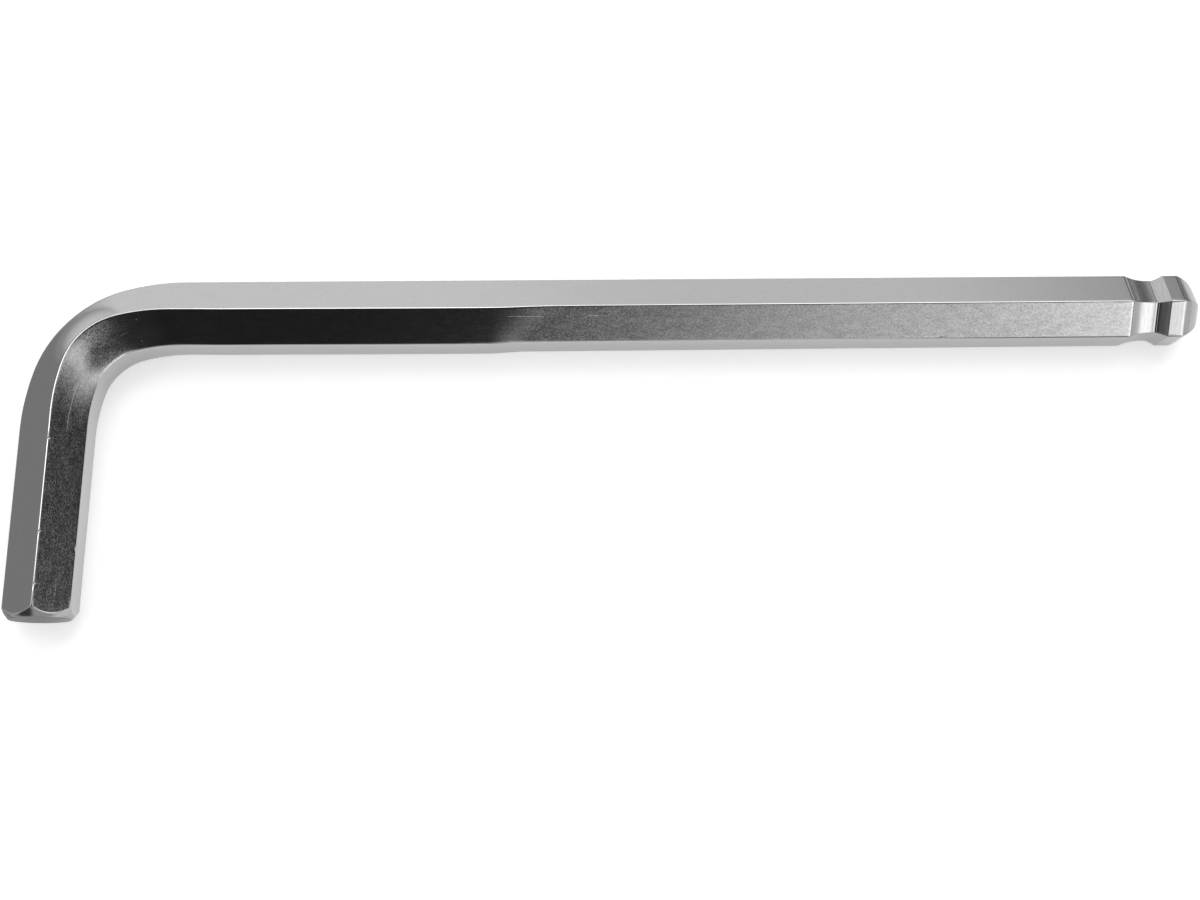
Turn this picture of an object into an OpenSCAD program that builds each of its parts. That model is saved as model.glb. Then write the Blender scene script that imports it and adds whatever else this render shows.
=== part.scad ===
// Hex key: a six-sided steel bar bent into an L, with a ball end on its long arm and a turned
// chamfer on its short arm. It lies flat on one long corner, with the long arm along X.

/* [Hexagon] */
// Width of the bar across its flats
across_flats = 10; // [9:0.5:14]
// How far the round of the bar's long corners lies inside a sharp corner
corner_trim = 0.1; // [0.05:0.01:0.3]

/* [Arms] */
// Length of the long arm, from the outer side of the bend to the tip of the ball
long_length = 182; // [120:1:260]
// Length of the short arm, from the outer side of the bend to its flat end
short_length = 51; // [45:1:90]
// Angle between the two arms
bend_angle = 93.5; // [90:0.5:100]
// Radius of the bend, at the middle of the bar
bend_radius = 16; // [14:0.5:24]
// How much the bending swells the bar, at each flat
bend_swell = 0.05; // [0.03:0.01:0.15]
// Length of the swollen stretch that the bending die held, on the long arm beside the bend
die_length = 52; // [20:1:60]

/* [Short end] */
// How far the round end face lies inside the flats
end_inset = 0.5; // [0.3:0.1:1.5]
// Slope of the turned chamfer against the arm
chamfer_angle = 39; // [30:1:60]

/* [Ball end] */
// Depth of the neck below the flats
neck_depth = 0.75; // [0.6:0.05:1.2]
// Radius of the groove that makes the neck
groove_radius = 9.8; // [9:0.2:14]
// Length of the groove, from the bar's flat to the crease at the neck
groove_length = 4.3; // [3.5:0.1:5.5]
// Length of the straight rise from the neck to the crest
rise_length = 1.9; // [1:0.1:3]
// Length of the crest, where the ball is as wide as the bar
crest_length = 2.2; // [1.5:0.1:4]
// Length of the rounded nose, from the crest to the tip
nose_length = 3.8; // [3:0.1:4.4]
// Width of the small flat at the tip
tip_flat = 1.6; // [1:0.1:3]

/* [Hidden] */
$fn = 96;
sides = 6;
side_turn = 360 / sides;

// Half of the bar's width, where it is straight and where bending swelled it
half_width = across_flats / 2;
swollen_half = half_width + bend_swell;

// How far out the sharp and the rounded corners of a bar reach
function sharp_reach(half) = half / cos(side_turn / 2);
function corner_reach(half) = sharp_reach(half) - corner_trim;

// The arms are laid out from the point where their middle lines cross
long_axis = long_length - half_width;
short_axis = short_length - half_width;
lean = bend_angle - 90;
sweep = 180 - bend_angle;
bend_reach = bend_radius * tan(sweep / 2);

// How far the straight bars reach into the swollen stretch, at its two ends
seated = 0.5;

// The round face at the short end, and where the chamfer leaves the flats
end_radius = half_width - end_inset;
chamfer_on_flats = end_inset / tan(chamfer_angle);

// Places along the ball end, and the height of the groove at the neck's crease
nose_start = long_axis - nose_length;
crest_start = nose_start - crest_length;
neck_crease = crest_start - rise_length;
groove_start = neck_crease - groove_length;
groove_run = sqrt(2 * groove_radius * neck_depth - pow(neck_depth, 2));
groove_middle = groove_start + groove_run;
groove_height = half_width - neck_depth + groove_radius;
crease_height = groove_height - sqrt(pow(groove_radius, 2) - pow(neck_crease - groove_middle, 2));
rise_slope = (half_width - crease_height) / rise_length;

// Height of the rise's line at a place along the arm
function rise_height(along) = crease_height + rise_slope * (along - neck_crease);

// The nose's arc has its centre on the arm's middle line and ends at the edge of the tip's flat
nose_centre = (pow(nose_length, 2) + pow(tip_flat / 2, 2) - pow(half_width, 2)) / (2 * nose_length);
nose_radius = sqrt(pow(nose_centre, 2) + pow(half_width, 2));

// Cutters reach this far past what they cut
past = 2;

// The key stands on its lower corners, with its outline centred on the origin
x_low = -(short_axis - chamfer_on_flats) * sin(lean) - half_width * cos(lean);
x_high = long_axis;
y_low = -short_axis * cos(lean) - end_radius * sin(lean);
y_high = swollen_half;
seat = [-(x_low + x_high) / 2, -(y_low + y_high) / 2, corner_reach(swollen_half)];

// The bar's section: flats face left and right, and a corner points up
module hex_section(half) {
    intersection() {
        rotate(side_turn / 2)
            circle(r = sharp_reach(half), $fn = sides);
        circle(r = corner_reach(half));
    }
}

// A straight stretch of bar along X
module straight_bar(from, to, half) {
    translate([from, 0, 0])
        rotate([90, 0, 90])
            linear_extrude(height = to - from)
                hex_section(half);
}

// The bend, and the stretch beside it that the die held
module bent_bar() {
    straight_bar(bend_reach, bend_reach + die_length, swollen_half);
    translate([bend_reach, -bend_radius, 0])
        rotate(90)
            rotate_extrude(angle = sweep)
                translate([bend_radius, 0])
                    hex_section(swollen_half);
}

// What is milled off a flat at the neck, seen from the side: a round groove, down to the line of
// the rise to the crest
module milled_groove() {
    left = groove_start - past;
    right = crest_start + past;
    intersection() {
        translate([groove_middle, groove_height])
            circle(r = groove_radius);
        polygon([
            [left, rise_height(left)],
            [right, rise_height(right)],
            [left, rise_height(right)]
        ]);
    }
}

// What is rounded off the end of a flat, seen from the side
module rounded_nose() {
    difference() {
        translate([nose_start + min(nose_centre, 0), 0])
            square([nose_length - min(nose_centre, 0) + past, half_width + past]);
        translate([nose_start + nose_centre, 0])
            circle(r = nose_radius);
    }
}

// What is left between two opposite flats, as a plate that is wider than the bar elsewhere
module milled_plate() {
    reach = half_width + past / 2;
    linear_extrude(height = 2 * across_flats, center = true)
        difference() {
            translate([0, -reach])
                square([long_axis + past, 2 * reach]);
            for (flip = [0, 1])
                mirror([0, flip]) {
                    milled_groove();
                    rounded_nose();
                }
        }
}

// The long arm, with the same cuts made over each pair of its flats
module ball_arm() {
    intersection() {
        straight_bar(bend_reach + die_length - seated, long_axis, half_width);
        milled_plate();
        rotate([side_turn, 0, 0])
            milled_plate();
        rotate([-side_turn, 0, 0])
            milled_plate();
    }
}

// The short arm, turned to a chamfer at its end
module chamfered_arm() {
    outside = corner_reach(half_width) + past;
    intersection() {
        straight_bar(bend_reach - seated, short_axis, half_width);
        rotate([0, 90, 0])
            rotate_extrude()
                polygon([
                    [0, 0],
                    [outside, 0],
                    [outside, short_axis - (outside - end_radius) / tan(chamfer_angle)],
                    [end_radius, short_axis],
                    [0, short_axis]
                ]);
    }
}

// The whole key, in one piece
module hex_key() {
    color("silver")
        translate(seat) {
            ball_arm();
            bent_bar();
            rotate(-bend_angle)
                chamfered_arm();
        }
}

hex_key();
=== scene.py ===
"""A bright hex key with a ball end, lying on a pale floor in soft studio light."""
import math
from dataclasses import dataclass

import bpy
import numpy as np
from mathutils import Matrix, Vector


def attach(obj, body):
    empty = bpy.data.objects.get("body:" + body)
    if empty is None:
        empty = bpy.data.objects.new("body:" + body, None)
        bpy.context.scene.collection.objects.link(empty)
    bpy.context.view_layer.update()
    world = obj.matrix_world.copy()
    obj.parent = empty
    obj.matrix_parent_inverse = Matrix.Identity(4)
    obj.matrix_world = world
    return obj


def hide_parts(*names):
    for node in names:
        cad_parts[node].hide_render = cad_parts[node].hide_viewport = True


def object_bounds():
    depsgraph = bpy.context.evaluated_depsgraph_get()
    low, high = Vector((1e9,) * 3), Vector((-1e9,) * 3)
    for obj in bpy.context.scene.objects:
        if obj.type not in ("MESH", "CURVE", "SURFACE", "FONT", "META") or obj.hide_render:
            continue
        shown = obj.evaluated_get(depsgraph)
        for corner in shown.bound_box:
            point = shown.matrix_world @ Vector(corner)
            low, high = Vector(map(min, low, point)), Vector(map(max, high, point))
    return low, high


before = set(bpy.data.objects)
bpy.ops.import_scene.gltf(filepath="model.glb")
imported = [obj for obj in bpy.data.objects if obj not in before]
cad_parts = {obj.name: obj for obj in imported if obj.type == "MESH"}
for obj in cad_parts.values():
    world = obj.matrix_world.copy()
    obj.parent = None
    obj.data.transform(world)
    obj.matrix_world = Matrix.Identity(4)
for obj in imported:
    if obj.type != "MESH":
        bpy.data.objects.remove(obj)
cad_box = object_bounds()

MM = 0.001

# The bar and its arms, in millimetres, as in the solid model
SIDES = 6
SIDE_TURN = 2 * math.pi / SIDES
HALF_WIDTH = 5.0
SWOLLEN_HALF = 5.05
LONG_AXIS = 177.0
SHORT_AXIS = 46.0
BEND_ANGLE = 93.5
SWEEP = math.radians(180 - BEND_ANGLE)

# Rounding of the bar's own corners and of corners that a cutter left
BAR_CORNER = 0.32
CUT_CORNER = 0.08

# Rounding of creases and of edges across the bar, and how many steps each has
CREASE = 0.07
CUT_EDGE = 0.22
EASE_PARTS = 3

# How deep a flat is cut before its corners are a cutter's
CUT_DEPTH = 0.007

# The bend is tightest in its middle and eases into both arms
CORE_RADIUS = 12.0
LEAD_RADIUS = 30.7
LEAD_LENGTH = 8.2
EASING = 3.0

# At how many places the bend's middle line is worked out
BEND_POINTS = 4001

# How far bending moved the outer side, the top corner and the inner side, outwards
OUTER_SHIFT = -0.68
TOP_SHIFT = 0.62
INNER_SHIFT = -0.32

# How deep bending hollowed the outer flanks, and how much it thickened the inner side
FLANK_HOLLOW = 0.15
INNER_RISE = 0.3
RISE_START = 0.4
RISE_WIDTH = 0.5

# The stretch of the long arm that the bending die held: where it ends, and how much it grew
HELD_END = 64.0
HELD_STEP = 5.5
HELD_START_GROWTH = 0.08
HELD_END_GROWTH = 0.27

# Where rings lie closer together, round the step at the end of that stretch
JOG_START = HELD_END - HELD_STEP / 2
JOG_END = HELD_END + 1.5 * HELD_STEP

# The ball end
NECK_DEPTH = 0.75
GROOVE_RADIUS = 9.8
GROOVE_LENGTH = 4.3
RISE_LENGTH = 1.9
RISE_HOLLOW = 0.055
CREST_LENGTH = 2.2
NOSE_LENGTH = 3.8
TIP_HALF = 0.8
BALL_LENGTH = GROOVE_LENGTH + RISE_LENGTH + CREST_LENGTH + NOSE_LENGTH

# The cutter left a narrow land at the neck's crease
LAND_LENGTH = 0.28

# Beside the land is a fine notch: how far back each of its places is, and how deep
NOTCH = [(0.28, 0.0), (0.37, 0.05), (0.46, 0.0)]

# The turned chamfer at the short end
END_RADIUS = 4.5
CHAMFER = math.radians(39)

# How far out of square the end was turned, for each millimetre outwards
END_TILT = 0.05

# Radii at which the short end's face is divided
FACE_RADII = (4.45, 3.4, 2.3, 1.2, 0.2)

# How finely the surface is divided: places across each flat, closest beside its corners
FLAT_SHARES = (-1, -0.9, -0.6, -0.3, 0, 0.3, 0.6, 0.9, 1)
FLAT_PARTS = len(FLAT_SHARES) - 1
CORNER_PARTS = 5
GROOVE_PARTS = 24
RISE_PARTS = 6
NOSE_PARTS = 22
CONE_PARTS = 3
BEND_STEP = 0.3
JOG_STEP = 0.4
ARM_STEP = 1.5

# How much the shading follows large faces more than small ones
LARGE_FACE_WEIGHT = 90


@dataclass
class Ring:
    """One section of the bar: its outline and where it lies."""
    along: float
    place: np.ndarray
    turn: float
    outline: np.ndarray
    ahead: np.ndarray
    milled: float


@dataclass
class Dent:
    """A dent in one of the bar's corners, in millimetres."""
    along: float
    corner: int
    half_length: float
    half_width: float
    depth: float


def smooth_step(value):
    """A soft change from 0 to 1 while value goes from 0 to 1."""
    value = np.clip(value, 0, 1)
    return value * value * (3 - 2 * value)


def hump(share):
    """A rise from 0 to 1 and back to 0 while share goes from 0 to 1."""
    return 4 * share * (1 - share)


def running_sum(values, lengths):
    """The area under values, from the first length up to each length."""
    steps = (values[1:] + values[:-1]) / 2 * np.diff(lengths)
    return np.concatenate([[0], np.cumsum(steps)])


def bend_line():
    """The bend's middle line from the long arm to the short one: lengths, places and turns."""
    core_length = (SWEEP - 2 * LEAD_LENGTH / LEAD_RADIUS) * CORE_RADIUS
    core_end = LEAD_LENGTH + core_length
    changes = (0, LEAD_LENGTH, core_end, core_end + LEAD_LENGTH)
    marks = [change + step for change in changes for step in (0, EASING)]
    lead = 1 / LEAD_RADIUS
    core = 1 / CORE_RADIUS
    lengths = np.linspace(0, marks[-1], BEND_POINTS)
    tightness = np.interp(lengths, marks, [0, lead, lead, core, core, lead, lead, 0])
    turns = running_sum(tightness, lengths)
    x = -running_sum(np.cos(turns), lengths)
    y = -running_sum(np.sin(turns), lengths)
    reach = -y[-1] / math.sin(turns[-1])
    return lengths, np.stack([x + reach, y], 1), turns, reach


BEND_LENGTHS, BEND_PLACES, BEND_TURNS, BEND_REACH = bend_line()
BEND_LENGTH = BEND_LENGTHS[-1]


def short_along(distance):
    """Where a place on the short arm lies along the straightened bar."""
    return 2 * BEND_REACH - BEND_LENGTH - distance


# Two of the bar's corners, counted from the outer side: the upper one and the inner upper one
TOP_CORNER = 1
INNER_CORNER = 2
DENTS = [
    Dent(short_along(16.1), TOP_CORNER, 0.15, 0.26, 0.09),
    Dent(short_along(19.7), TOP_CORNER, 0.18, 0.27, 0.10),
    Dent(short_along(33.6), TOP_CORNER, 0.15, 0.26, 0.09),
    Dent(short_along(41.3), TOP_CORNER, 0.16, 0.26, 0.09),
    Dent(short_along(35.7), INNER_CORNER, 0.6, 0.40, 0.10),
    Dent(134.6, INNER_CORNER, 1.0, 0.40, 0.10),
]

# Where rings lie in a dent, as shares of its half length
DENT_STEPS = (-1, -0.7, -0.4, -0.15, 0.15, 0.4, 0.7, 1)

# The flats that were handled most, counted from the outer side
SATIN_SIDES = (2, 5)

# How satin those flats are where the die held them and in the bend, and where that starts
HELD_SATIN = 0.25
BENT_SATIN = 1.25
BENT_START = 8.0


def hexagon(half, corner):
    """Places (outward, up) round a six-sided outline with rounded corners."""
    places = []
    reach = (half - corner) * math.tan(SIDE_TURN / 2)
    for side in range(SIDES):
        angle = side * SIDE_TURN
        facing = np.array([math.cos(angle), math.sin(angle)])
        beside = np.array([-facing[1], facing[0]])
        for share in FLAT_SHARES:
            places.append(facing * half + beside * reach * share)
        middle = facing * (half - corner) + beside * reach
        for part in range(1, CORNER_PARTS):
            way = angle + SIDE_TURN * part / CORNER_PARTS
            places.append(middle + corner * np.array([math.cos(way), math.sin(way)]))
    return np.array(places)


def bent_outline(outline, share):
    """An outline in the bend, with its sides moved as bending moves them."""
    out = outline[:, 0] / HALF_WIDTH
    shift = np.interp(out, (-1, 0, 1), (INNER_SHIFT, TOP_SHIFT, OUTER_SHIFT))
    shift -= FLANK_HOLLOW * hump(np.clip(out, 0, 1))
    rise = INNER_RISE * smooth_step((-out - RISE_START) / RISE_WIDTH)
    rise *= np.clip(outline[:, 1] / (HALF_WIDTH * math.tan(SIDE_TURN / 2)), -1, 1)
    return outline + share * np.stack([shift, rise], 1)


def held_outline(outline, along):
    """An outline on the long arm, grown where the bending die held it, towards its inner side."""
    held = (along - BEND_REACH) / (HELD_END - BEND_REACH)
    growth = HELD_START_GROWTH * smooth_step((along - BEND_REACH) / HELD_STEP)
    growth += (HELD_END_GROWTH - HELD_START_GROWTH) * smooth_step(held)
    # The step at its end is twice as long on the outer side as on the inner side
    step = HELD_STEP * (2 - np.clip(-outline[:, 0] / HALF_WIDTH, 0, 1))
    growth = growth * (1 - smooth_step((along - HELD_END) / step))
    inward = 1 - ((outline[:, 0] + HALF_WIDTH) / (2 * HALF_WIDTH)) ** 2
    return outline - np.stack([growth * inward, np.zeros(len(outline))], 1)


def dented(outline, along):
    """An outline with its corners pushed in where the bar has a dent."""
    outline = outline.copy()
    for dent in DENTS:
        if abs(along - dent.along) < dent.half_length:
            angle = (dent.corner + 0.5) * SIDE_TURN
            out = np.array([math.cos(angle), math.sin(angle)])
            reach = HALF_WIDTH / math.cos(SIDE_TURN / 2)
            far = np.linalg.norm(outline - out * reach, axis=1) / dent.half_width
            share = math.cos(math.pi / 2 * (along - dent.along) / dent.half_length) ** 2
            outline -= dent.depth * share * np.clip(1 - far, 0, 1)[:, None] * out
    return outline


def nose_line():
    """The nose's arc from the tip's flat to the crest: (along, half width) of each step."""
    back = (NOSE_LENGTH ** 2 + TIP_HALF ** 2 - HALF_WIDTH ** 2) / (2 * NOSE_LENGTH)
    radius = math.hypot(back, HALF_WIDTH)
    middle = LONG_AXIS - NOSE_LENGTH + back
    first = math.asin(TIP_HALF / radius)
    last = math.atan2(HALF_WIDTH, -back)
    angles = np.linspace(first, last, NOSE_PARTS + 1)
    return [(middle + radius * math.cos(angle), radius * math.sin(angle)) for angle in angles]


def groove_line(crest_start):
    """The neck's groove from its land to the bar's flat: (along, half width) of each step."""
    crease = crest_start - RISE_LENGTH
    land_end = crease + LAND_LENGTH
    start = crease - GROOVE_LENGTH
    middle = start + math.sqrt(2 * GROOVE_RADIUS * NECK_DEPTH - NECK_DEPTH ** 2)
    height = HALF_WIDTH - NECK_DEPTH + GROOVE_RADIUS
    places = [(land_end, 0.0)] + [(land_end - back, depth) for back, depth in NOTCH]
    places += [(x, 0.0) for x in np.linspace(crease - LAND_LENGTH, start, GROOVE_PARTS + 1)]
    line = []
    for x, depth in places:
        line.append((x, height - math.sqrt(GROOVE_RADIUS ** 2 - (x - middle) ** 2) - depth))
    return line


def rise_line(crest_start, crease_height):
    """The slightly hollow rise from the crest to the neck: (along, half width) of each step."""
    line = []
    for part in range(1, RISE_PARTS):
        share = part / RISE_PARTS
        half = HALF_WIDTH + (crease_height - HALF_WIDTH) * share - RISE_HOLLOW * hump(share)
        line.append((crest_start - (RISE_LENGTH - LAND_LENGTH) * share, half))
    return line


def ease_crease(line, at, size):
    """A line with one sharp step replaced by a small round of a given size."""
    here = np.array(line[at])
    before = np.array(line[at - 1]) - here
    after = np.array(line[at + 1]) - here
    first = before * size / np.linalg.norm(before)
    second = after * size / np.linalg.norm(after)
    shares = np.linspace(0, 1, EASE_PARTS + 1)
    eased = [tuple(here + (1 - share) ** 2 * first + share ** 2 * second) for share in shares]
    return line[:at] + eased + line[at + 1:]


def ball_line():
    """The ball end from its tip to the plain bar: (along, half width) of each step."""
    nose = nose_line()
    crest_start = LONG_AXIS - NOSE_LENGTH - CREST_LENGTH
    groove = groove_line(crest_start)
    rise = rise_line(crest_start, groove[0][1])
    tip = (LONG_AXIS, TIP_HALF / 2)
    plain = (groove[-1][0] - ARM_STEP, HALF_WIDTH)
    line = [tip] + nose + [(crest_start, HALF_WIDTH)] + rise + groove + [plain]
    # The creases are eased from the last to the first, so that their numbers stay true
    crest = len(nose) + 1
    line = ease_crease(line, len(line) - 2, CUT_EDGE)
    line = ease_crease(line, crest + len(rise) + 1, CREASE)
    line = ease_crease(line, crest, CREASE)
    line = ease_crease(line, crest - 1, CUT_EDGE)
    return ease_crease(line, 1, CREASE)


def plain_ring(along, place, turn, outline, milled=0.0):
    """A ring square to the bar."""
    return Ring(along, np.array(place), turn, outline, np.zeros(len(outline)), milled)


def short_ring(distance, outline, ahead=0.0, milled=0.0):
    """A ring of the short arm, with each of its places moved ahead along the arm."""
    place = distance * np.array([-math.cos(SWEEP), -math.sin(SWEEP)])
    ahead = ahead + np.zeros(len(outline))
    return Ring(short_along(distance), place, SWEEP, outline, ahead, milled)


def end_ring(outline, back, milled):
    """A ring near the short arm's end, which was turned slightly out of square."""
    return short_ring(SHORT_AXIS, outline, END_TILT * outline[:, 0] - back, milled)


def with_dents(alongs, low, high):
    """Places of rings along the bar, with more of them at each dent between low and high."""
    extra = []
    for dent in DENTS:
        if low < dent.along < high:
            extra += [dent.along + step * dent.half_length for step in DENT_STEPS]
    return np.sort(np.concatenate([alongs, extra]))[::-1]


def ball_rings():
    """The rings of the ball end, cut six-sided like the bar."""
    rings = []
    for along, half in ball_line():
        corner = CUT_CORNER if half < HALF_WIDTH - CUT_DEPTH else BAR_CORNER
        milled = float(along > LONG_AXIS - BALL_LENGTH)
        rings.append(plain_ring(along, (along, 0), 0.0, hexagon(half, corner), milled))
    return rings


def long_rings(start):
    """The rings of the long arm, from the ball end to the bend."""
    jog = np.arange(JOG_START, JOG_END, JOG_STEP)
    places = np.concatenate([np.arange(BEND_REACH + ARM_STEP, start, ARM_STEP), jog])
    outline = hexagon(HALF_WIDTH, BAR_CORNER)
    rings = []
    for along in with_dents(places, BEND_REACH, start):
        rings.append(plain_ring(along, (along, 0), 0.0, held_outline(outline, along)))
    return rings


def bend_rings():
    """The rings of the bend."""
    outline = hexagon(HALF_WIDTH, BAR_CORNER)
    rings = []
    for length in np.linspace(0, BEND_LENGTH, round(BEND_LENGTH / BEND_STEP)):
        x = np.interp(length, BEND_LENGTHS, BEND_PLACES[:, 0])
        y = np.interp(length, BEND_LENGTHS, BEND_PLACES[:, 1])
        turn = np.interp(length, BEND_LENGTHS, BEND_TURNS)
        share = math.sin(math.pi * turn / SWEEP)
        rings.append(plain_ring(BEND_REACH - length, (x, y), turn, bent_outline(outline, share)))
    return rings


def short_rings():
    """The rings of the short arm, from the bend to the start of its chamfer."""
    outline = hexagon(HALF_WIDTH, BAR_CORNER)
    deepest = (np.linalg.norm(outline, axis=1).max() - END_RADIUS) / math.tan(CHAMFER)
    last = short_along(SHORT_AXIS - deepest - ARM_STEP / 2)
    alongs = np.arange(short_along(BEND_REACH + ARM_STEP), last, -ARM_STEP)
    alongs = with_dents(alongs, last, short_along(BEND_REACH))
    return [short_ring(short_along(along), outline) for along in alongs]


def end_rings():
    """The rings of the short arm's chamfer and of its end face."""
    outline = hexagon(HALF_WIDTH, BAR_CORNER)
    radii = np.linalg.norm(outline, axis=1)
    rings = [end_ring(outline, (radii - END_RADIUS) / math.tan(CHAMFER) + CREASE, 0.0)]
    inset = CREASE * math.sin(CHAMFER)
    for part in range(CONE_PARTS + 1):
        cone = radii - inset + (END_RADIUS - radii + 2 * inset) * part / CONE_PARTS
        scaled = outline * (cone / radii)[:, None]
        rings.append(end_ring(scaled, (cone - END_RADIUS) / math.tan(CHAMFER), 1.0))
    for radius in FACE_RADII:
        rings.append(end_ring(outline * (radius / radii)[:, None], 0.0, 1.0))
        rings[-1].along -= END_RADIUS - radius
    return rings


def satin_share(ring):
    """How satin each place of a ring is: 0 for bright, 1 for satin and more in the bend."""
    side, spot = np.divmod(np.arange(len(ring.outline)), FLAT_PARTS + CORNER_PARTS)
    handled = np.isin(side, SATIN_SIDES) & (spot <= FLAT_PARTS)
    after_jog = smooth_step((ring.along - HELD_END - HELD_STEP / 2) / HELD_STEP)
    bent = BEND_REACH - BENT_START - ring.along
    in_bend = smooth_step(bent / (BEND_LENGTH / 2 - BENT_START))
    past_bend = smooth_step((BEND_REACH - BEND_LENGTH / 2 - ring.along) / (BEND_LENGTH / 2))
    share = HELD_SATIN + (1 - HELD_SATIN) * max(after_jog, past_bend)
    share += (BENT_SATIN - HELD_SATIN) * in_bend * (1 - past_bend)
    return np.where(handled, share * (1 - ring.milled), 0.0)


def crossing_place():
    """Where the arms' middle lines cross, in the row frame."""
    low, high = cad_box
    return Vector((high.x - LONG_AXIS * MM, high.y - SWOLLEN_HALF * MM, (low.z + high.z) / 2))


def ring_points(ring):
    """The places of one ring, in the row frame."""
    heading = np.array([-math.cos(ring.turn), -math.sin(ring.turn), 0])
    outward = np.array([-math.sin(ring.turn), math.cos(ring.turn), 0])
    outline = dented(ring.outline, ring.along)
    places = np.array([ring.place[0], ring.place[1], 0])
    places = places + outline[:, :1] * outward + ring.ahead[:, None] * heading
    places[:, 2] += outline[:, 1]
    return np.array(crossing_place()) + places * MM


def straight_places(ring):
    """The places of one ring in the straightened bar, in millimetres."""
    outline = dented(ring.outline, ring.along)
    return np.stack([ring.along - ring.ahead, outline[:, 0], outline[:, 1]], 1)


def ring_faces(rings, size):
    """Faces between each ring and the next, and one over each end."""
    faces = [tuple(range(size - 1, -1, -1))]
    for ring in range(rings - 1):
        for spot in range(size):
            here = ring * size + spot
            beside = ring * size + (spot + 1) % size
            faces.append((here, beside, beside + size, here + size))
    faces.append(tuple(range((rings - 1) * size, rings * size)))
    return faces


def keep_values(mesh, name, kind, field, values):
    """Keeps one value for each point of a mesh under a name."""
    kept = mesh.attributes.new(name, kind, "POINT")
    kept.data.foreach_set(field, np.concatenate(values).astype(np.float32).ravel())


def build_key():
    """The whole key as one closed mesh."""
    ball = ball_rings()
    rings = ball + long_rings(ball[-1].along) + bend_rings() + short_rings() + end_rings()
    size = len(rings[0].outline)
    points = np.concatenate([ring_points(ring) for ring in rings])
    milled = [np.full(size, ring.milled) for ring in rings]
    mesh = bpy.data.meshes.new("hex_key_bar")
    mesh.from_pydata(points.tolist(), [], ring_faces(len(rings), size))
    keep_values(mesh, "straight_bar", "FLOAT_VECTOR", "vector", [straight_places(ring) for ring in rings])
    keep_values(mesh, "satin", "FLOAT", "value", [satin_share(ring) for ring in rings])
    keep_values(mesh, "milled", "FLOAT", "value", milled)
    mesh.shade_smooth()
    key = bpy.data.objects.new("hex_key_bar", mesh)
    bpy.context.scene.collection.objects.link(key)
    shading = key.modifiers.new("even_shading", "WEIGHTED_NORMAL")
    shading.weight = LARGE_FACE_WEIGHT
    return key


def add_node(tree, kind, inputs=None, **settings):
    """A node with its settings, and its inputs set to values or joined to outputs."""
    node = tree.nodes.new(kind)
    for name, value in settings.items():
        setattr(node, name, value)
    for name, value in (inputs or {}).items():
        if isinstance(value, bpy.types.NodeSocket):
            tree.links.new(value, node.inputs[name])
        else:
            node.inputs[name].default_value = value
    return node


def calculate(tree, operation, first, second=0.0, third=0.0):
    """The result of one sum on numbers."""
    values = {0: first, 1: second, 2: third}
    return add_node(tree, "ShaderNodeMath", values, operation=operation).outputs[0]


def blend_values(tree, share, first, second):
    """A number between first and second."""
    values = {"Factor": share, "A": first, "B": second}
    return add_node(tree, "ShaderNodeMix", values, data_type="FLOAT").outputs["Result"]


def change_range(tree, value, low, high, to_low, to_high):
    """A number taken softly from one range to another."""
    values = {"Value": value, "From Min": low, "From Max": high, "To Min": to_low, "To Max": to_high}
    node = add_node(tree, "ShaderNodeMapRange", values, interpolation_type="SMOOTHSTEP")
    return node.outputs["Result"]


def use_vectors(tree, operation, first, second=(0, 0, 0)):
    """A node for one sum on two directions or places."""
    values = {0: first, 1: second}
    return add_node(tree, "ShaderNodeVectorMath", values, operation=operation)


def noise(tree, place, stretch, scale, detail, roughness):
    """Cloudy noise in the straightened bar, stretched along its length."""
    moved = use_vectors(tree, "MULTIPLY", place, (1 / stretch, 1, 1)).outputs[0]
    values = {"Vector": moved, "Scale": scale, "Detail": detail, "Roughness": roughness}
    return add_node(tree, "ShaderNodeTexNoise", values).outputs["Fac"]


# The range that most of a noise's values lie in
NOISE_LOW = 0.3
NOISE_HIGH = 0.7


def spread(tree, pattern, size):
    """A noise's values taken to the range from -size to size."""
    return change_range(tree, pattern, NOISE_LOW, NOISE_HIGH, -size, size)


# Scratches on the upper side: start and end, each along the bar and outwards, half width, strength
SCRATCHES = [
    (66.5, -1.45, 72.6, -1.50, 0.06, 0.7),
    (75.7, -1.45, 77.2, -1.45, 0.05, 0.6),
    (78.7, -1.42, 82.6, -1.48, 0.06, 0.7),
    (6.9, -2.55, 9.6, -2.25, 0.06, 0.5),
    (10.7, -0.95, 11.1, -0.90, 0.12, 0.9),
    (10.8, -3.90, 11.1, -3.95, 0.12, 0.9),
    (short_along(9.6), -2.65, short_along(18.5), -2.30, 0.07, 0.6),
    (short_along(39.8), -2.80, short_along(43.4), -2.85, 0.06, 0.35),
]

# How far from its ends a scratch fades
SCRATCH_FADE = 0.8


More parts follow.
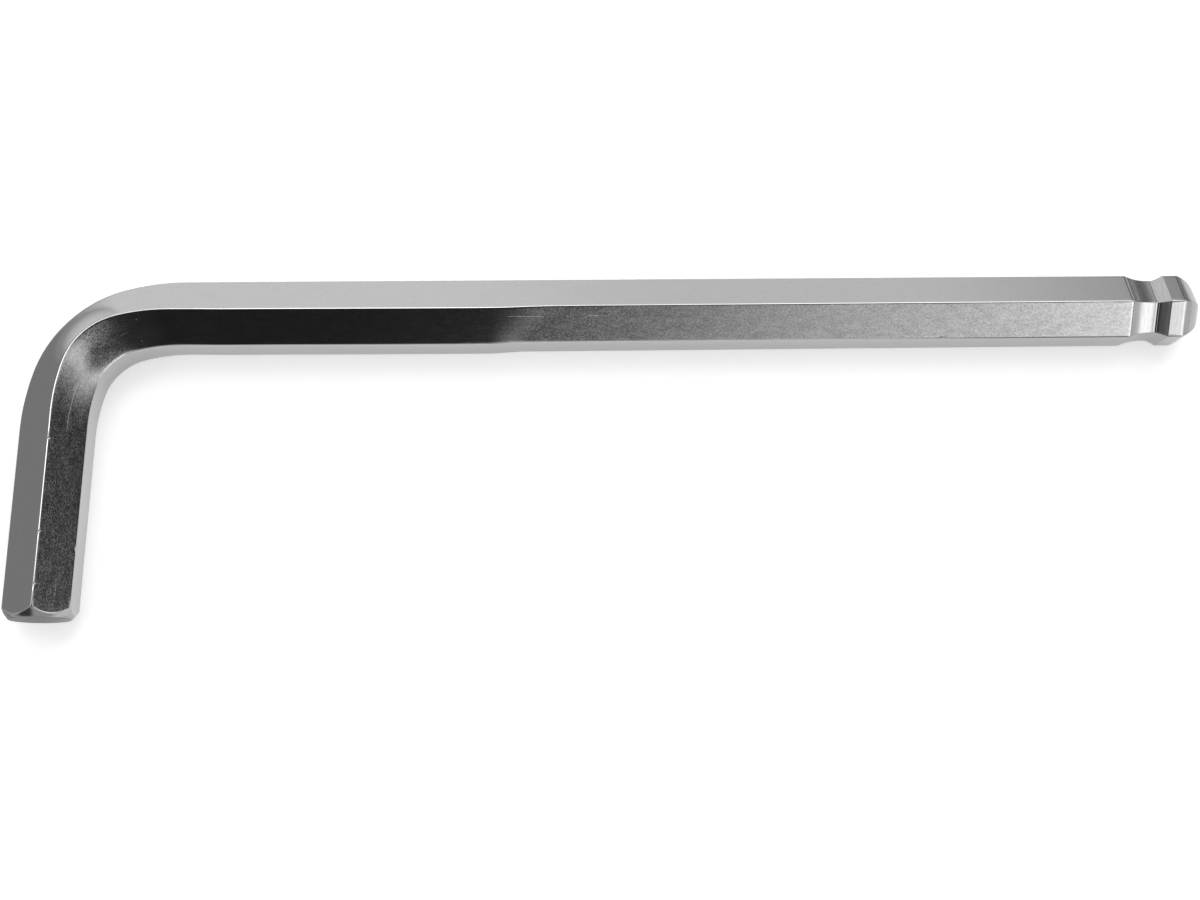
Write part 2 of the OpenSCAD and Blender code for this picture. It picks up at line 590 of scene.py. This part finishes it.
def scratch_share(tree, bar):
    """How scratched each place is: 1 in the middle of the strongest scratch."""
    parts = add_node(tree, "ShaderNodeSeparateXYZ", {0: bar}).outputs
    total = 0.0
    for start, start_out, end, end_out, half_width, strength in SCRATCHES:
        slope = (end_out - start_out) / (end - start)
        line = calculate(tree, "MULTIPLY_ADD", parts["X"], slope, start_out - slope * start)
        off = calculate(tree, "ABSOLUTE", calculate(tree, "SUBTRACT", parts["Y"], line))
        across = change_range(tree, off, 0.0, half_width, strength, 0.0)
        half_length = abs(end - start) / 2
        away = calculate(tree, "SUBTRACT", parts["X"], (start + end) / 2)
        away = calculate(tree, "ABSOLUTE", away)
        inside = change_range(tree, away, max(half_length - SCRATCH_FADE, 0.0), half_length, 1.0, 0.0)
        total = calculate(tree, "MAXIMUM", total, calculate(tree, "MULTIPLY", across, inside))
    above = calculate(tree, "GREATER_THAN", parts["Z"], 0.0)
    return calculate(tree, "MULTIPLY", total, above)


# Patterns in the steel: the stretch along the bar, scale, detail and roughness of each
GRAIN_NOISE = (1.5, 5.0, 2.5, 0.6)
CLOUD_NOISE = (2.5, 1.1, 3.0, 0.6)
DRAW_NOISE = (60.0, 5.0, 3.0, 0.6)
MILL_NOISE = (0.05, 0.5, 2.0, 0.5)

# How much of the satin flats' grain the bright flats have
BRIGHT_WEAR = 0.12

# The roughness of bright, satin and milled steel, and how much the patterns change it
BRIGHT_ROUGHNESS = 0.10
SATIN_ROUGHNESS = 0.22
MILLED_ROUGHNESS = 0.16
CLOUD_SPREAD = 0.01
GRAIN_SPREAD = 0.04
SCRATCH_ROUGHNESS = 0.25

# Heights of the grain, the draw lines and the milling lines, in millimetres
GRAIN_HEIGHT = 0.0024
DRAW_HEIGHT = 0.0015
MILL_HEIGHT = 0.0015

# How light the steel is, and how much the patterns change it
STEEL_GREY = 0.52
MILLED_GREY = 0.47
GRAIN_TINT = 0.10
CLOUD_TINT = 0.04
MILL_TINT = 0.03
SCRATCH_TINT = 0.4


def steel_patterns(tree):
    """What the steel's look depends on at each place, by name."""
    bar = add_node(tree, "ShaderNodeAttribute", attribute_name="straight_bar").outputs["Vector"]
    satin = add_node(tree, "ShaderNodeAttribute", attribute_name="satin").outputs["Fac"]
    return {
        "satin": satin,
        "milled": add_node(tree, "ShaderNodeAttribute", attribute_name="milled").outputs["Fac"],
        "grain": noise(tree, bar, *GRAIN_NOISE),
        "clouds": noise(tree, bar, *CLOUD_NOISE),
        "draw_lines": noise(tree, bar, *DRAW_NOISE),
        "mill_lines": noise(tree, bar, *MILL_NOISE),
        "scratches": scratch_share(tree, bar),
        "worn": calculate(tree, "ADD", calculate(tree, "SQRT", satin), BRIGHT_WEAR),
    }


def steel_roughness(tree, patterns):
    """How rough the steel is: more where it was handled, milled or scratched."""
    gloss = blend_values(tree, patterns["satin"], BRIGHT_ROUGHNESS, SATIN_ROUGHNESS)
    gloss = blend_values(tree, patterns["milled"], gloss, MILLED_ROUGHNESS)
    gloss = calculate(tree, "MULTIPLY_ADD", patterns["scratches"], SCRATCH_ROUGHNESS, gloss)
    clouds = spread(tree, patterns["clouds"], CLOUD_SPREAD)
    change = calculate(tree, "ADD", clouds, spread(tree, patterns["grain"], GRAIN_SPREAD))
    return calculate(tree, "MULTIPLY_ADD", change, patterns["satin"], gloss)


def steel_height(tree, patterns):
    """How high the steel's surface lies, in millimetres."""
    grain_height = calculate(tree, "MULTIPLY", patterns["worn"], GRAIN_HEIGHT)
    height = calculate(tree, "MULTIPLY", patterns["grain"], grain_height)
    height = calculate(tree, "MULTIPLY_ADD", patterns["draw_lines"], DRAW_HEIGHT, height)
    milled = calculate(tree, "MULTIPLY", patterns["mill_lines"], patterns["milled"])
    return calculate(tree, "MULTIPLY_ADD", milled, MILL_HEIGHT, height)


def steel_grey(tree, patterns):
    """How light the steel is, with its grain, clouds, milling lines and scratches."""
    grain = spread(tree, patterns["grain"], GRAIN_TINT)
    tint = calculate(tree, "ADD", grain, spread(tree, patterns["clouds"], CLOUD_TINT))
    tint = calculate(tree, "MULTIPLY", tint, patterns["worn"])
    mill_lines = spread(tree, patterns["mill_lines"], MILL_TINT)
    tint = calculate(tree, "MULTIPLY_ADD", mill_lines, patterns["milled"], tint)
    tint = calculate(tree, "MULTIPLY_ADD", patterns["scratches"], SCRATCH_TINT, tint)
    grey = blend_values(tree, patterns["milled"], STEEL_GREY, MILLED_GREY)
    return calculate(tree, "ADD", tint, grey)


def plated_steel():
    """Bright plating over drawn steel: mirror-like flats, satin where handled, with draw lines."""
    material = bpy.data.materials.new("plated_steel")
    material.use_nodes = True
    tree = material.node_tree
    shader = tree.nodes["Principled BSDF"]
    patterns = steel_patterns(tree)
    tree.links.new(steel_grey(tree, patterns), shader.inputs["Base Color"])
    tree.links.new(steel_roughness(tree, patterns), shader.inputs["Roughness"])
    values = {"Height": steel_height(tree, patterns), "Strength": 1.0, "Distance": MM}
    tree.links.new(add_node(tree, "ShaderNodeBump", values).outputs["Normal"], shader.inputs["Normal"])
    shader.inputs["Metallic"].default_value = 1
    return material


# The photograph's width and focal length in pixels, and the sensor's width in millimetres
PHOTO_WIDTH = 1200
FOCAL_PIXELS = 1736.8
SENSOR_WIDTH = 36.0

# Where the camera sees the crossing of the arms, in millimetres
CROSSING_RIGHT = -81.196
CROSSING_UP = 19.914
CROSSING_AWAY = 265.69

# How the camera is turned from looking straight down, in radians
CAMERA_TILT = -0.1990
CAMERA_SWING = 0.0722
CAMERA_ROLL = 0.0138

# How near and how far the camera sees, in metres
CLIP_START = 0.01
CLIP_END = 100


def place_camera():
    """The camera at the photograph's viewing angle."""
    turn = Matrix.Rotation(-CAMERA_TILT, 3, "X") @ Matrix.Rotation(-CAMERA_SWING, 3, "Y")
    turn = turn @ Matrix.Rotation(-CAMERA_ROLL, 3, "Z")
    away = turn @ Vector((-CROSSING_RIGHT, -CROSSING_UP, CROSSING_AWAY)) * MM
    data = bpy.data.cameras.new("camera")
    data.sensor_width = SENSOR_WIDTH
    data.sensor_fit = "HORIZONTAL"
    data.lens = FOCAL_PIXELS * SENSOR_WIDTH / PHOTO_WIDTH
    data.clip_start = CLIP_START
    data.clip_end = CLIP_END
    camera = bpy.data.objects.new("camera", data)
    camera.matrix_world = Matrix.Translation(crossing_place() + away) @ turn.to_4x4()
    bpy.context.scene.collection.objects.link(camera)
    bpy.context.scene.camera = camera


WHITE = (1, 1, 1, 1)

# How light the studio is outside its zones
STUDIO_LEVEL = 1.0

# Round zones of the studio: azimuth, elevation, inner and outer radius in degrees, and level
STUDIO_ZONES = [
    (18, 32, 18, 31, 0.02),
    (68, 12, 13, 23, 0.88),
    (52, 3, 3, 25.5, 0.2),
    (165, 10, 26, 51, 0.32),
    (-88, 6, 20, 34, 0.5),
    (-122, 12, 12, 24, 0.06),
    (-62, 68, 12, 21, 0.08),
    (-104, 52, 11, 26, 0.01),
    (-92, 63, 8, 18, 0.03),
    (-67, 43, 2, 9, 0.8),
    (-45, 72, 7, 13, 0.03),
    (-20, 68, 4, 9, 0.1),
    (-126, 43, 9, 14, 0.14),
    (-20, 5, 15, 28, 0.78),
    (-47, 35, 8, 15.5, 2.1),
    (62, 60, 6, 13, 3.5),
    (106, 76, 5, 9.5, 5.5),
]


def zone_share(tree, way, azimuth, elevation, inner, outer):
    """How far a direction lies inside a round zone: 1 in its middle and 0 outside it."""
    azimuth = math.radians(azimuth)
    elevation = math.radians(elevation)
    flat = math.cos(elevation)
    middle = (flat * math.cos(azimuth), flat * math.sin(azimuth), math.sin(elevation))
    along = use_vectors(tree, "DOT_PRODUCT", way, middle).outputs["Value"]
    edge = math.cos(math.radians(outer))
    core = math.cos(math.radians(inner))
    return change_range(tree, along, edge, core, 0.0, 1.0)


def light_studio():
    """Soft light all round, with dark and bright parts of the room that the steel mirrors."""
    world = bpy.data.worlds.new("studio")
    bpy.context.scene.world = world
    world.use_nodes = True
    tree = world.node_tree
    way = add_node(tree, "ShaderNodeTexCoord").outputs["Generated"]
    level = STUDIO_LEVEL
    # A later zone lies over an earlier one
    for azimuth, elevation, inner, outer, zone_level in STUDIO_ZONES:
        share = zone_share(tree, way, azimuth, elevation, inner, outer)
        level = blend_values(tree, share, level, zone_level)
    seen = add_node(tree, "ShaderNodeLightPath").outputs["Is Camera Ray"]
    background = tree.nodes["Background"]
    background.inputs["Color"].default_value = WHITE
    tree.links.new(blend_values(tree, seen, level, 1.0), background.inputs["Strength"])


# The floor: half its size in metres, and its look
FLOOR_HALF = 4.0
FLOOR_GREY = 0.9
FLOOR_ROUGHNESS = 0.9

# How much the floor glows where the camera sees it and where the steel mirrors it
CAMERA_GLOW = 0.45
MIRROR_GLOW = 0.27

# Ways in which painted shade darkens the mirrored floor: the way, its start and end in metres, and the
# end's level
FLOOR_SHADE_FADES = [
    ((-0.94, -0.34, 0), 0.07, 0.16, 0.45),
    ((-0.5, 0.87, 0), 0.08, 0.22, 0.85),
    ((0, -1, 0), 0.045, 0.20, 0.5),
]

# Patches of painted shade on the floor that the steel mirrors: middle, half sizes in metres, and level
FLOOR_SHADES = [
    ((-0.094, -0.038, 0), (0.016, 0.016, 1), 0.45),
    ((0.078, -0.014, 0), (0.026, 0.024, 1), 0.1),
    ((0.078, 0.0065, 0), (0.022, 0.0045, 1), 0.3),
    ((0.13, -0.09, 0), (0.06, 0.075, 1), 0.15),
    ((0.20, 0.14, 0), (0.13, 0.11, 1), 0.2),
]

# Where a patch of painted shade begins and ends to fade, as shares of its half sizes
SHADE_CORE = 0.75
SHADE_EDGE = 1.2


def painted_floor_shade(tree):
    """How light the floor is where the steel mirrors it, with shade painted into it: 1 where none is
    painted.
    """
    place = add_node(tree, "ShaderNodeTexCoord").outputs["Object"]
    level = 1.0
    # Painted shade that deepens along each way, seen only in the steel's reflections
    for way, start, end, end_level in FLOOR_SHADE_FADES:
        far = use_vectors(tree, "DOT_PRODUCT", place, way).outputs["Value"]
        level = calculate(tree, "MULTIPLY", level, change_range(tree, far, start, end, 1.0, end_level))
    # Painted shade in soft oval patches, seen only in the steel's reflections
    for middle, half_sizes, shade_level in FLOOR_SHADES:
        away = use_vectors(tree, "SUBTRACT", place, middle).outputs[0]
        shares = use_vectors(tree, "DIVIDE", away, half_sizes).outputs[0]
        far = use_vectors(tree, "LENGTH", shares).outputs["Value"]
        shade = change_range(tree, far, SHADE_CORE, SHADE_EDGE, shade_level, 1.0)
        level = calculate(tree, "MULTIPLY", level, shade)
    return level


def pale_floor():
    """The floor's material: pale, with painted shade in places that only mirrored rays see."""
    material = bpy.data.materials.new("pale_floor")
    material.use_nodes = True
    tree = material.node_tree
    shader = tree.nodes["Principled BSDF"]
    shader.inputs["Roughness"].default_value = FLOOR_ROUGHNESS
    shader.inputs["Emission Color"].default_value = WHITE
    path = add_node(tree, "ShaderNodeLightPath").outputs
    level = painted_floor_shade(tree)
    # Painted shade darkens the floor's colour here and its glow below, for mirrored rays alone
    share = blend_values(tree, path["Is Glossy Ray"], 1.0, level)
    tree.links.new(calculate(tree, "MULTIPLY", share, FLOOR_GREY), shader.inputs["Base Color"])
    mirrored = calculate(tree, "MULTIPLY", path["Is Glossy Ray"], level)
    glow = calculate(tree, "MULTIPLY", mirrored, MIRROR_GLOW)
    glow = calculate(tree, "MULTIPLY_ADD", path["Is Camera Ray"], CAMERA_GLOW, glow)
    tree.links.new(glow, shader.inputs["Emission Strength"])
    return material


def lay_floor():
    """A plain pale floor that keeps the key's soft shadow."""
    corners = [(-1, -1), (1, -1), (1, 1), (-1, 1)]
    mesh = bpy.data.meshes.new("floor")
    mesh.from_pydata([(FLOOR_HALF * x, FLOOR_HALF * y, 0) for x, y in corners], [], [(0, 1, 2, 3)])
    mesh.materials.append(pale_floor())
    floor = bpy.data.objects.new("floor", mesh)
    bpy.context.scene.collection.objects.link(floor)


place_camera()
light_studio()
lay_floor()
key = build_key()
key.data.materials.append(plated_steel())
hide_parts("hex_key")
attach(key, "root")
bpy.context.scene.view_settings.view_transform = "Standard"
